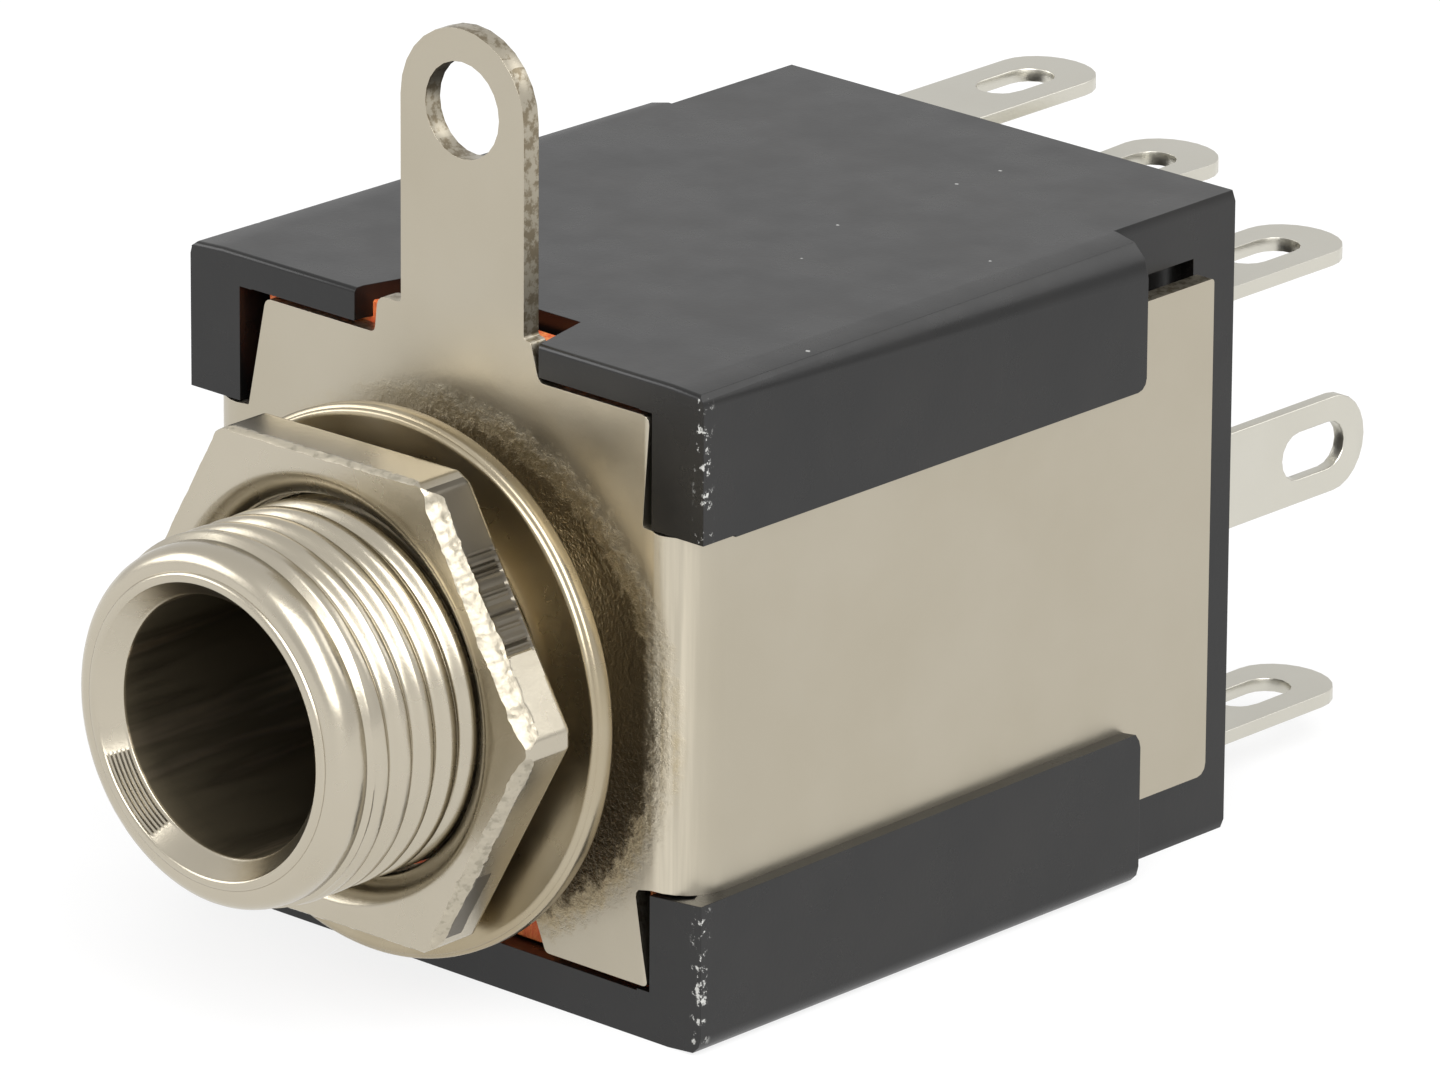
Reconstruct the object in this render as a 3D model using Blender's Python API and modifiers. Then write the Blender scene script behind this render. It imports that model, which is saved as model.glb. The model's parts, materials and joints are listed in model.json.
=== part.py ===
"""Panel-mount audio jack socket for a 6.35 mm stereo plug, with two changeover switches.

Metres, +Z up. The socket rests on the flat underside of its moulded housing at z = 0.
The plug axis runs along Y: the threaded nose points to -Y and the solder lugs to +Y.
Pieces are drawn with y = 0 at the front face of the sheet metal bracket. At the end
they all move forward together, so that the origin is the middle of the underside.
"""
import math

import bmesh
import bpy
from mathutils import Matrix, Vector

MM = 0.001
GAP = 0.05 * MM

# Housing
HOUSING_HEIGHT = 16.2 * MM
HOUSING_DEPTH = 19.7 * MM
FLAP_WIDTH = 16.44 * MM
BODY_WIDTH = 14.7 * MM
FLAP_LENGTH = 15.4 * MM
UPPER_FLAP_EDGE = 12.5 * MM
LOWER_FLAP_EDGE = 3.9 * MM
FLAP_FILLET = 0.8 * MM
BODY_BEVEL = 0.25 * MM
WALL = 0.75 * MM
REAR_WALL = 1.1 * MM
CAVITY_WIDTH = 11.8 * MM
POCKET_WIDTH = 12.4 * MM
POST_INSIDE = 6.6 * MM
POCKET_BOTTOM = 1.15 * MM
POCKET_TOP = 15.4 * MM

# Plug way
AXIS_Z = 8.05 * MM
PLUG_RADIUS = 3.175 * MM
BORE_RADIUS = 3.2 * MM
REAR_HOLE_RADIUS = 3.35 * MM

# Front bracket, one folded sheet
SHEET = 0.5 * MM
ARM_REAR = 18.9 * MM
BEND_RADIUS = 0.75 * MM
BEND_TOP = 12.48 * MM
BEND_BOTTOM = 3.68 * MM
ARM_TOP = 14.25 * MM
ARM_BOTTOM = 1.7 * MM
ARM_STEP = 1.15 * MM
PLATE_TOP = 15.28 * MM
FOOT_BOTTOM = 1.3 * MM
TAG_CENTRE_X = 0.61 * MM
TAG_RADIUS = 1.96 * MM
TAG_ARC_Z = 21.3 * MM
TAG_HOLE_RADIUS = 1.17 * MM
TAG_SHOULDER = 16.2 * MM
PLATE_HOLE_RADIUS = 4.55 * MM

# Nose, nut and washer
THREAD_RADIUS = 4.5 * MM
NOSE_LENGTH = 7.65 * MM
NOSE_LIP = 0.6 * MM
NUT_CORNER_RADIUS = 6.62 * MM
NUT_FRONT = -4.0 * MM
NUT_THICKNESS = 1.45 * MM
NUT_TURN = math.radians(0.8)
WASHER_RADIUS = 6.6 * MM
WASHER_HOLE_RADIUS = 4.95 * MM
WASHER_THICKNESS = 0.6 * MM
WASHER_REAR = -1.5 * MM
WASHER_DROP = 0.35 * MM
WASHER_TILT = 0.05

# Front insulator
INSULATOR_THICKNESS = 1.1 * MM
INSULATOR_HOLE_RADIUS = 5.4 * MM

# Solder lugs and contact strips
STRIP = 0.35 * MM
BLADE = 0.25 * MM
LUG_WIDTH = 2.7 * MM
LUG_TIP = 27.0 * MM
LUG_END_ROUND = 1.15 * MM
SLOT_WIDTH = 1.2 * MM
SLOT_LENGTH = 2.3 * MM
SLOT_FROM_TIP = 2.25 * MM
COLUMN = 4.0 * MM
MAKE_Z = 15.2 * MM
COMMON_Z = 13.95 * MM
BREAK_Z = 12.65 * MM
SWITCH_CENTRE_Z = 8.225 * MM
TAB_FRONT = 4.2 * MM
TAB_REAR = 5.8 * MM
TAB_REACH = 0.9 * MM
SPLIT_Y = 17.3 * MM
BLADE_WIDTH = 2.0 * MM
BLADE_FRONT = 4.25 * MM
BUTTON_Y = 5.0 * MM
BREAK_BUTTON = 0.47 * MM
MAKE_BUTTON = 0.2 * MM
PUSHER_Y = 9.0 * MM
PUSHER_WIDTH = 1.8 * MM
PUSHER_BITE = 0.3 * MM

# Side contacts for the tip and the ring
SIDE_STRIP_X = 5.5 * MM
SIDE_LUG_WIDTH = 2.44 * MM
SIDE_LUG_TIP = 26.5 * MM
SIDE_Z = 8.05 * MM
HAIRPIN_Y = 4.95 * MM
HAIRPIN_RADIUS = 0.45 * MM
SIDE_BLADE_WIDTH = 2.0 * MM
SIDE_BITE = 2.75 * MM
TIP_CONTACT_Y = 17.4 * MM
RING_CONTACT_Y = 15.2 * MM

ROUND_STEPS = 48
OUTSIDE = 30 * MM


def clear_scene():
    for item in list(bpy.data.objects):
        bpy.data.objects.remove(item, do_unlink=True)


def make_collection(name):
    collection = bpy.data.collections.new(name)
    bpy.context.scene.collection.children.link(collection)
    return collection


def make_material(name, colour, metallic, roughness):
    material = bpy.data.materials.new(name)
    material.use_nodes = True
    shader = material.node_tree.nodes["Principled BSDF"]
    shader.inputs["Base Color"].default_value = (*colour, 1.0)
    shader.inputs["Metallic"].default_value = metallic
    shader.inputs["Roughness"].default_value = roughness
    material.diffuse_color = (*colour, 1.0)
    return material


def link_mesh(name, mesh, material=None):
    """Put a mesh in the part's collection, or with the cutters if it has no material."""
    item = bpy.data.objects.new(name, mesh)
    if material:
        mesh.materials.clear()
        mesh.materials.append(material)
        PARTS.objects.link(item)
    else:
        CUTTERS.objects.link(item)
        item.hide_render = True
        item.display_type = "WIRE"
    return item


def arc(centre, radius, start, end, steps):
    """Points on an arc; angles in degrees."""
    points = []
    for step in range(steps + 1):
        angle = math.radians(start + (end - start) * step / steps)
        points.append((centre[0] + radius * math.cos(angle), centre[1] + radius * math.sin(angle)))
    return points


def rounded(corners, steps=3):
    """Polygon whose corners (x, y, radius) are replaced by arcs."""
    points = []
    count = len(corners)
    for index, (x, y, radius) in enumerate(corners):
        here = Vector((x, y))
        before = Vector(corners[index - 1][:2])
        after = Vector(corners[(index + 1) % count][:2])
        if radius == 0:
            points.append((x, y))
            continue
        to_before = (before - here).normalized()
        to_after = (after - here).normalized()
        half = to_before.angle(to_after) / 2
        centre = here + (to_before + to_after).normalized() * radius / math.sin(half)
        first = here + to_before * radius / math.tan(half) - centre
        last = here + to_after * radius / math.tan(half) - centre
        turn = first.angle_signed(last)
        for step in range(steps + 1):
            point = centre + Matrix.Rotation(-turn * step / steps, 2) @ first
            points.append((point.x, point.y))
    return points


def rectangle(low, high, radius=0.0):
    return rounded([
        (low[0], low[1], radius),
        (high[0], low[1], radius),
        (high[0], high[1], radius),
        (low[0], high[1], radius),
    ])


def flat_outline(name, loops, low, high, plane, material=None):
    """Closed outlines filled and extruded from low to high across their plane.

    plane XY extrudes along Z, XZ along Y and YZ along X.
    """
    curve = bpy.data.curves.new(name, "CURVE")
    curve.dimensions = "2D"
    curve.fill_mode = "BOTH"
    curve.extrude = (high - low) / 2
    for loop in loops:
        spline = curve.splines.new("POLY")
        spline.points.add(len(loop) - 1)
        for point, (x, y) in zip(spline.points, loop):
            point.co = (x, y, 0, 1)
        spline.use_cyclic_u = True
    drawn = bpy.data.objects.new(name + "_outline", curve)
    CUTTERS.objects.link(drawn)
    middle = (low + high) / 2
    turns = {
        "XY": Matrix.Translation((0, 0, middle)),
        "XZ": Matrix.Translation((0, middle, 0)) @ Matrix.Rotation(math.pi / 2, 4, "X"),
        "YZ": Matrix.Translation((middle, 0, 0)) @ Matrix(((0, 0, 1, 0), (1, 0, 0, 0), (0, 1, 0, 0), (0, 0, 0, 1))),
    }
    graph = bpy.context.evaluated_depsgraph_get()
    mesh = bpy.data.meshes.new_from_object(drawn.evaluated_get(graph))
    bpy.data.objects.remove(drawn, do_unlink=True)
    mesh.transform(turns[plane])
    weld(mesh)
    return link_mesh(name, mesh, material)


def weld(mesh):
    shape = bmesh.new()
    shape.from_mesh(mesh)
    bmesh.ops.remove_doubles(shape, verts=shape.verts, dist=0.001 * MM)
    bmesh.ops.recalc_face_normals(shape, faces=shape.faces)
    shape.to_mesh(mesh)
    shape.free()


def box(name, low, high, material=None):
    shape = bmesh.new()
    bmesh.ops.create_cube(shape, size=1)
    size = Vector(high) - Vector(low)
    bmesh.ops.scale(shape, vec=size, verts=shape.verts)
    bmesh.ops.translate(shape, vec=(Vector(low) + Vector(high)) / 2, verts=shape.verts)
    mesh = bpy.data.meshes.new(name)
    shape.to_mesh(mesh)
    shape.free()
    return link_mesh(name, mesh, material)


def turned(name, profile, material=None, steps=ROUND_STEPS):
    """Closed profile of (radius, y) turned about the plug axis.

    The profile runs from the nose to the rear on its outer side.
    """
    shape = bmesh.new()
    verts = [shape.verts.new((radius, 0, -y)) for radius, y in profile]
    for index, vert in enumerate(verts):
        shape.edges.new((verts[index - 1], vert))
    mesh = bpy.data.meshes.new(name)
    shape.to_mesh(mesh)
    shape.free()
    item = link_mesh(name, mesh, material)
    screw = item.modifiers.new("Turn", "SCREW")
    screw.steps = steps
    screw.render_steps = steps
    screw.use_merge_vertices = True
    screw.merge_threshold = 0.00001
    item.rotation_euler = (math.pi / 2, 0, 0)
    item.location = (0, 0, AXIS_Z)
    return item


def rod(name, radius, low, high, material=None, steps=16):
    """Cylinder along Z between the points low and high."""
    shape = bmesh.new()
    height = high[2] - low[2]
    bmesh.ops.create_cone(shape, cap_ends=True, segments=steps, radius1=radius, radius2=radius, depth=height)
    bmesh.ops.translate(shape, vec=(Vector(low) + Vector(high)) / 2, verts=shape.verts)
    mesh = bpy.data.meshes.new(name)
    shape.to_mesh(mesh)
    shape.free()
    return link_mesh(name, mesh, material)


def button(name, y, low, high, wide, narrow, wide_below):
    """Tapered contact button on the middle plane, its wide end on the strip."""
    shape = bmesh.new()
    radii = (wide, narrow) if wide_below else (narrow, wide)
    bmesh.ops.create_cone(shape, cap_ends=True, segments=16, radius1=radii[0], radius2=radii[1], depth=high - low)
    bmesh.ops.translate(shape, vec=(0, y, (low + high) / 2), verts=shape.verts)
    mesh = bpy.data.meshes.new(name)
    shape.to_mesh(mesh)
    shape.free()
    return link_mesh(name, mesh)


def bent_strip(name, path, thickness, low, high, material):
    """Sheet that follows a path in the XY plane and stands from low to high."""
    shape = bmesh.new()
    verts = [shape.verts.new((x, y, low)) for x, y in path]
    edges = [shape.edges.new(pair) for pair in zip(verts, verts[1:])]
    raised = bmesh.ops.extrude_edge_only(shape, edges=edges)
    moved = [item for item in raised["geom"] if isinstance(item, bmesh.types.BMVert)]
    bmesh.ops.translate(shape, vec=(0, 0, high - low), verts=moved)
    mesh = bpy.data.meshes.new(name)
    shape.to_mesh(mesh)
    shape.free()
    item = link_mesh(name, mesh, material)
    solidify = item.modifiers.new("Sheet", "SOLIDIFY")
    solidify.thickness = thickness
    solidify.offset = 0
    solidify.use_even_offset = True
    return item


def smooth_path(knots, steps=5):
    """Points of a smooth curve through the knots."""
    ends = [2 * Vector(knots[0]) - Vector(knots[1])] + [Vector(knot) for knot in knots]
    ends.append(2 * Vector(knots[-1]) - Vector(knots[-2]))
    points = []
    for first, second, third, fourth in zip(ends, ends[1:], ends[2:], ends[3:]):
        for step in range(steps):
            t = step / steps
            point = 0.5 * (2 * second + (third - first) * t + (2 * first - 5 * second + 4 * third - fourth) * t**2
                           + (3 * second - first - 3 * third + fourth) * t**3)
            points.append((point.x, point.y))
    points.append(tuple(knots[-1]))
    return points


def combine(item, tool, operation):
    modifier = item.modifiers.new(operation.title(), "BOOLEAN")
    modifier.operation = operation
    modifier.object = tool
    modifier.solver = "EXACT"


def cut(item, tool):
    combine(item, tool, "DIFFERENCE")


def join(item, tool):
    combine(item, tool, "UNION")


def mirrored_x(points):
    return [(-x, y) for x, y in points]


def make_housing(material):
    half = FLAP_WIDTH / 2
    front = rectangle((-half, 0), (half, HOUSING_HEIGHT), FLAP_FILLET)
    housing = flat_outline("housing", [front], 0, HOUSING_DEPTH, "XZ", material)
    for side in (-1, 1):
        cut(housing, flap_waste(side))
        cut(housing, rear_edge_waste(side))
    half = CAVITY_WIDTH / 2
    pocket_rear = SHEET + GAP + INSULATOR_THICKNESS + GAP
    low = (-half, pocket_rear - 0.3 * MM, WALL)
    cut(housing, box("cavity", low, (half, HOUSING_DEPTH - REAR_WALL, HOUSING_HEIGHT - WALL)))
    half = POCKET_WIDTH / 2
    cut(housing, box("pocket", (-half, -MM, POCKET_BOTTOM), (half, pocket_rear, POCKET_TOP)))
    half = POST_INSIDE
    cut(housing, box("plate_recess", (-half, -MM, FOOT_BOTTOM - 0.1 * MM), (half, ARM_STEP, PLATE_TOP + 0.1 * MM)))
    half = FLAP_WIDTH
    cut(housing, box("bend_recess", (-half, -MM, BEND_BOTTOM - 0.08 * MM), (half, ARM_STEP - GAP, UPPER_FLAP_EDGE + GAP)))
    for side in (-1, 1):
        cut(housing, arm_channel(side))
    cut(housing, tag_notch())
    cut_rear_wall(housing)
    return housing


def flap_waste(side):
    """Space between the two side flaps and behind them."""
    corner = 0.6 * MM
    outline = rounded([
        (-MM, LOWER_FLAP_EDGE, 0), (FLAP_LENGTH, LOWER_FLAP_EDGE, corner), (FLAP_LENGTH, -MM, 0), (OUTSIDE, -MM, 0),
        (OUTSIDE, OUTSIDE, 0), (FLAP_LENGTH, OUTSIDE, 0), (FLAP_LENGTH, UPPER_FLAP_EDGE, corner),
        (-MM, UPPER_FLAP_EDGE, 0),
    ])
    low, high = sorted((side * BODY_WIDTH / 2, side * OUTSIDE))
    return flat_outline("flap_waste", [outline], low, high, "YZ")


def rear_edge_waste(side):
    """Bevels along the upper and lower edges behind the flaps."""
    half = BODY_WIDTH / 2
    outline = [
        (half + MM, -MM), (half + MM, HOUSING_HEIGHT + MM), (half - MM - BODY_BEVEL, HOUSING_HEIGHT + MM),
        (half + GAP, HOUSING_HEIGHT - GAP - BODY_BEVEL), (half + GAP, BODY_BEVEL + GAP), (half - MM - BODY_BEVEL, -MM),
    ]
    if side < 0:
        outline = mirrored_x(outline)
    return flat_outline("rear_edge_waste", [outline], FLAP_LENGTH, OUTSIDE, "XZ")


def arm_channel(side):
    """Slot under the flaps for one side arm of the bracket."""
    outer = BODY_WIDTH / 2 + GAP
    inner = BODY_WIDTH / 2 - SHEET - GAP
    low_x, high_x = sorted((side * inner, side * outer))
    low = (low_x, ARM_STEP - 0.2 * MM, ARM_BOTTOM - 0.25 * MM)
    high = (high_x, ARM_REAR + 0.08 * MM, ARM_TOP + 0.7 * MM)
    return box(f"arm_channel_{side}", low, high)


def tag_notch():
    """Slanted notch in the top wall, where the solder tag comes up."""
    outline = [(-2.85 * MM, -MM), (-2.85 * MM, 0.3 * MM), (-2.4 * MM, 1.86 * MM), (2.62 * MM, 1.86 * MM), (3.04 * MM, 0), (3.04 * MM, -MM)]
    return flat_outline("tag_notch", [outline], HOUSING_HEIGHT - 2 * WALL, HOUSING_HEIGHT + MM, "XY")


def cut_rear_wall(housing):
    """Hole for the tip of the plug, and a slot for each solder lug."""
    low = HOUSING_DEPTH - 2 * REAR_WALL
    high = HOUSING_DEPTH + MM
    cut(housing, turned("rear_hole", [(0, low), (REAR_HOLE_RADIUS, low), (REAR_HOLE_RADIUS, high), (0, high)], steps=32))
    half = LUG_WIDTH / 2 + GAP
    depth = STRIP / 2 + GAP
    for turned_over in (False, True):
        for x, z in ((-COLUMN, MAKE_Z), (0, COMMON_Z), (COLUMN, BREAK_Z)):
            if turned_over:
                x, z = -x, 2 * SWITCH_CENTRE_Z - z
            cut(housing, box("lug_slot", (x - half, low, z - depth), (x + half, high, z + depth)))
    half = SIDE_LUG_WIDTH / 2 + GAP
    for x in (-SIDE_STRIP_X, SIDE_STRIP_X):
        cut(housing, box("side_lug_slot", (x - depth, low, SIDE_Z - half), (x + depth, high, SIDE_Z + half)))


def make_bracket(material):
    """Front plate, two side arms and a solder tag, folded from one sheet."""
    mid = BODY_WIDTH / 2 - SHEET / 2
    bend = arc((mid - BEND_RADIUS, SHEET / 2 + BEND_RADIUS), BEND_RADIUS, 0, -90, 6)
    right = [(mid, ARM_REAR)] + bend
    path = right + mirrored_x(reversed(right))
    top = TAG_ARC_Z + TAG_RADIUS + MM
    bracket = bent_strip("front_bracket", path, SHEET, 0, top, material)
    frame = rectangle((-OUTSIDE, -MM), (OUTSIDE, OUTSIDE))
    cut(bracket, flat_outline("plate_waste", [frame, plate_outline()], -MM, ARM_STEP, "XZ"))
    frame = rectangle((ARM_STEP - GAP, -MM), (OUTSIDE, OUTSIDE))
    arm = rounded([
        (ARM_STEP - 2 * GAP, BEND_BOTTOM, 0), (ARM_STEP + GAP, BEND_BOTTOM, 0), (ARM_STEP + GAP, ARM_BOTTOM, 0),
        (ARM_REAR - 2 * GAP, ARM_BOTTOM, 0.3 * MM), (ARM_REAR - 2 * GAP, ARM_TOP, 0.1 * MM),
        (ARM_STEP + GAP, ARM_TOP, 0), (ARM_STEP + GAP, BEND_TOP, 0), (ARM_STEP - 2 * GAP, BEND_TOP, 0),
    ])
    cut(bracket, flat_outline("arm_waste", [arm_frame(arm)], -OUTSIDE, OUTSIDE, "YZ"))
    hole = arc((0, AXIS_Z), PLATE_HOLE_RADIUS, 0, 352.5, 47)
    cut(bracket, flat_outline("plate_hole", [hole], -MM, MM, "XZ"))
    hole = arc((TAG_CENTRE_X, TAG_ARC_Z), TAG_HOLE_RADIUS, 0, 345, 23)
    cut(bracket, flat_outline("tag_hole", [hole], -MM, MM, "XZ"))
    return bracket


def arm_frame(arm):
    """Everything behind the step except the arm, as one outline that opens to the front."""
    front = ARM_STEP - GAP
    inner = [point for point in arm if point[0] > front]
    top = [(front, BEND_TOP), (front, OUTSIDE), (OUTSIDE, OUTSIDE), (OUTSIDE, -MM), (front, -MM), (front, BEND_BOTTOM)]
    return top + inner


def plate_outline():
    """Front plate with its corner notches, feet, bottom cut-out and solder tag."""
    tag_left = TAG_CENTRE_X - TAG_RADIUS
    tag_right = TAG_CENTRE_X + TAG_RADIUS
    lower = [
        (OUTSIDE - MM, BEND_TOP, 0), (OUTSIDE - MM, BEND_BOTTOM, 0), (6.12 * MM, BEND_BOTTOM, 0.2 * MM),
        (6.52 * MM, FOOT_BOTTOM, 0.1 * MM), (3.3 * MM, FOOT_BOTTOM, 0.15 * MM), (2.75 * MM, 2.6 * MM, 0.3 * MM),
        (-2.75 * MM, 2.6 * MM, 0.3 * MM), (-3.3 * MM, FOOT_BOTTOM, 0.15 * MM), (-6.52 * MM, FOOT_BOTTOM, 0.1 * MM),
        (-6.12 * MM, BEND_BOTTOM, 0.2 * MM), (MM - OUTSIDE, BEND_BOTTOM, 0), (MM - OUTSIDE, BEND_TOP, 0),
    ]
    upper_left = [
        (-6.33 * MM, BEND_TOP, 0.1 * MM), (-5.75 * MM, PLATE_TOP, 0.2 * MM), (-2.2 * MM, PLATE_TOP, 0.15 * MM),
        (-2.1 * MM, TAG_SHOULDER, 0.25 * MM), (tag_left, TAG_SHOULDER, 0.1 * MM), (tag_left, TAG_ARC_Z, 0),
    ]
    upper_right = [
        (tag_right, TAG_ARC_Z, 0), (tag_right, TAG_SHOULDER, 0.1 * MM), (2.78 * MM, TAG_SHOULDER, 0.1 * MM),
        (3.05 * MM, PLATE_TOP, 0.2 * MM), (6.52 * MM, PLATE_TOP, 0.2 * MM), (6.32 * MM, BEND_TOP, 0.15 * MM),
    ]
    points = rounded(lower + upper_left + upper_right)
    start = points.index((tag_left, TAG_ARC_Z))
    crown = arc((TAG_CENTRE_X, TAG_ARC_Z), TAG_RADIUS, 180, 0, 14)[1:-1]
    return points[:start + 1] + crown + points[start + 1:]


def make_bushing(material):
    """Nose with its bore and the flange that is staked behind the plate."""
    flange = 5.2 * MM
    rear = SHEET + 0.45 * MM
    profile = [
        (3.45 * MM, -NOSE_LENGTH), (4.1 * MM, -NOSE_LENGTH), (4.28 * MM, 0.2 * MM - NOSE_LENGTH),
        (4.28 * MM, NOSE_LIP - NOSE_LENGTH), (THREAD_RADIUS, NOSE_LIP + 0.2 * MM - NOSE_LENGTH),
        (THREAD_RADIUS, SHEET + GAP), (flange, SHEET + GAP), (flange, SHEET + 0.3 * MM), (flange - 0.2 * MM, rear),
        (BORE_RADIUS, rear), (BORE_RADIUS, 0.25 * MM - NOSE_LENGTH),
    ]
    return turned("threaded_bushing", profile, material)


def make_nut(material):
    """Hexagon with both faces chamfered and a countersunk hole."""
    rear = NUT_FRONT + NUT_THICKNESS
    corners = arc((0, 0), NUT_CORNER_RADIUS, math.degrees(NUT_TURN), math.degrees(NUT_TURN) + 300, 5)
    nut = flat_outline("hex_nut", [corners], NUT_FRONT, rear, "XZ", material)
    nut.location.z = AXIS_Z
    chamfer = NUT_CORNER_RADIUS - 0.45 * MM
    envelope = [
        (0, NUT_FRONT - GAP), (chamfer, NUT_FRONT - GAP), (NUT_CORNER_RADIUS + GAP, NUT_FRONT + 0.3 * MM),
        (NUT_CORNER_RADIUS + GAP, rear - 0.3 * MM), (chamfer, rear + GAP), (0, rear + GAP),
    ]
    combine(nut, turned("nut_envelope", envelope), "INTERSECT")
    hole = THREAD_RADIUS + GAP
    bore = [
        (0, NUT_FRONT - MM), (hole + 1.35 * MM, NUT_FRONT - MM), (hole, NUT_FRONT + 0.35 * MM), (hole, rear + MM),
        (0, rear + MM),
    ]
    cut(nut, turned("nut_bore", bore))
    return nut


def make_washer(material):
    """Loose ring that hangs on the nose and leans back a little."""
    edge = 0.08 * MM
    front = -WASHER_THICKNESS / 2
    rear = WASHER_THICKNESS / 2
    profile = [
        (WASHER_HOLE_RADIUS, front), (WASHER_RADIUS - edge, front), (WASHER_RADIUS, front + edge),
        (WASHER_RADIUS, rear - edge), (WASHER_RADIUS - edge, rear), (WASHER_HOLE_RADIUS, rear),
    ]
    washer = turned("flat_washer", profile, material)
    washer.location = (0, WASHER_REAR + front, AXIS_Z - WASHER_DROP)
    washer.rotation_euler = (math.pi / 2 - WASHER_TILT, 0, WASHER_TILT)
    return washer


def make_insulator(material):
    """Fibre sheet between the front plate and the contacts."""
    half = POCKET_WIDTH / 2 - GAP
    sheet = rectangle((-half, POCKET_BOTTOM + GAP), (half, POCKET_TOP - GAP), 0.2 * MM)
    hole = arc((0, AXIS_Z), INSULATOR_HOLE_RADIUS, 0, 350, 35)
    low = SHEET + GAP
    return flat_outline("front_insulator", [sheet, hole], low, low + INSULATOR_THICKNESS, "XZ", material)


def slot_outline(x, y):
    """Wiring slot with round ends, along Y."""
    straight = (SLOT_LENGTH - SLOT_WIDTH) / 2
    return (arc((x, y + straight), SLOT_WIDTH / 2, 0, 180, 8) + arc((x, y - straight), SLOT_WIDTH / 2, 180, 360, 8))


def lug_end(x, half, tip):
    """Round end of a lug, from its left edge to its right edge."""
    points = []
    for px, py in arc((0, 0), 1, 180, 0, 12):
        points.append((x + half * px, tip - LUG_END_ROUND + LUG_END_ROUND * py))
    return points


def turn_over(items, lower):
    """The lower switch is the upper one turned over about the length of the socket."""
    for item in items:
        if lower:
            item.rotation_euler = (0, math.pi, 0)
            item.location = (0, 0, 2 * SWITCH_CENTRE_Z)


def fixed_contact(name, x, z, button_side, button_height, material, lower):
    """Solder lug, strip and tab of one fixed switch contact."""
    half = LUG_WIDTH / 2
    inner = x - math.copysign(half, x)
    outer = x + math.copysign(half, x)
    reach = -math.copysign(TAB_REACH, x)
    inside = [
        (outer, TAB_FRONT, 0.3 * MM), (reach, TAB_FRONT, 0.4 * MM), (reach, TAB_REAR, 0.4 * MM),
        (inner, TAB_REAR, 0.3 * MM),
    ]
    start = (inner, LUG_TIP - LUG_END_ROUND, 0)
    end = (outer, LUG_TIP - LUG_END_ROUND, 0)
    body = rounded(inside + [start, end])[:-2]
    crown = lug_end(x, half, LUG_TIP)
    if x > 0:
        outline = body + crown
    else:
        outline = body + crown[::-1]
    loops = [outline, slot_outline(x, LUG_TIP - SLOT_FROM_TIP)]
    item = flat_outline(name, loops, z - STRIP / 2, z + STRIP / 2, "XY", material)
    if button_side > 0:
        low, high = z, z + STRIP / 2 + button_height
    else:
        low, high = z - STRIP / 2 - button_height, z
    stud = button(name + "_button", BUTTON_Y, low, high, 0.55 * MM, 0.35 * MM, button_side > 0)
    join(item, stud)
    turn_over([item, stud], lower)
    return item


def common_contact(name, material, lower):
    """Solder lug and root of the switch blade."""
    half = LUG_WIDTH / 2
    neck = BLADE_WIDTH / 2
    inside = [
        (half, HOUSING_DEPTH - REAR_WALL - 0.4 * MM, 0.2 * MM), (neck, HOUSING_DEPTH - REAR_WALL - 0.8 * MM, 0.2 * MM),
        (neck, SPLIT_Y, 0), (-neck, SPLIT_Y, 0), (-neck, HOUSING_DEPTH - REAR_WALL - 0.8 * MM, 0.2 * MM),
        (-half, HOUSING_DEPTH - REAR_WALL - 0.4 * MM, 0.2 * MM),
    ]
    outline = rounded(inside) + lug_end(0, half, LUG_TIP)
    loops = [outline, slot_outline(0, LUG_TIP - SLOT_FROM_TIP)]
    item = flat_outline(name, loops, COMMON_Z - STRIP / 2, COMMON_Z + STRIP / 2, "XY", material)
    turn_over([item], lower)
    return item


def switch_blade(name, material, lower):
    """Springy strip with a button on each face and a hole for the pusher's peg."""
    wide = BLADE_WIDTH / 2
    narrow = wide - 0.2 * MM
    outline = rounded([
        (wide, SPLIT_Y - GAP, 0), (-wide, SPLIT_Y - GAP, 0), (-wide, 11 * MM, 0.5 * MM), (-narrow, 7 * MM, 0.5 * MM),
        (-narrow, BLADE_FRONT, 0.5 * MM), (narrow, BLADE_FRONT, 0.5 * MM), (narrow, 7 * MM, 0.5 * MM),
        (wide, 11 * MM, 0.5 * MM),
    ])
    hole = arc((0, PUSHER_Y), 0.4 * MM, 0, 330, 11)
    low = COMMON_Z - BLADE / 2
    high = COMMON_Z + BLADE / 2
    item = flat_outline(name, [outline, hole], low, high, "XY", material)
    under = button(name + "_low", BUTTON_Y, low - BREAK_BUTTON, COMMON_Z, 0.55 * MM, 0.35 * MM, False)
    over = button(name + "_high", BUTTON_Y, COMMON_Z, high + MAKE_BUTTON, 0.55 * MM, 0.35 * MM, True)
    join(item, under)
    join(item, over)
    turn_over([item, under, over], lower)
    return item


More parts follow.
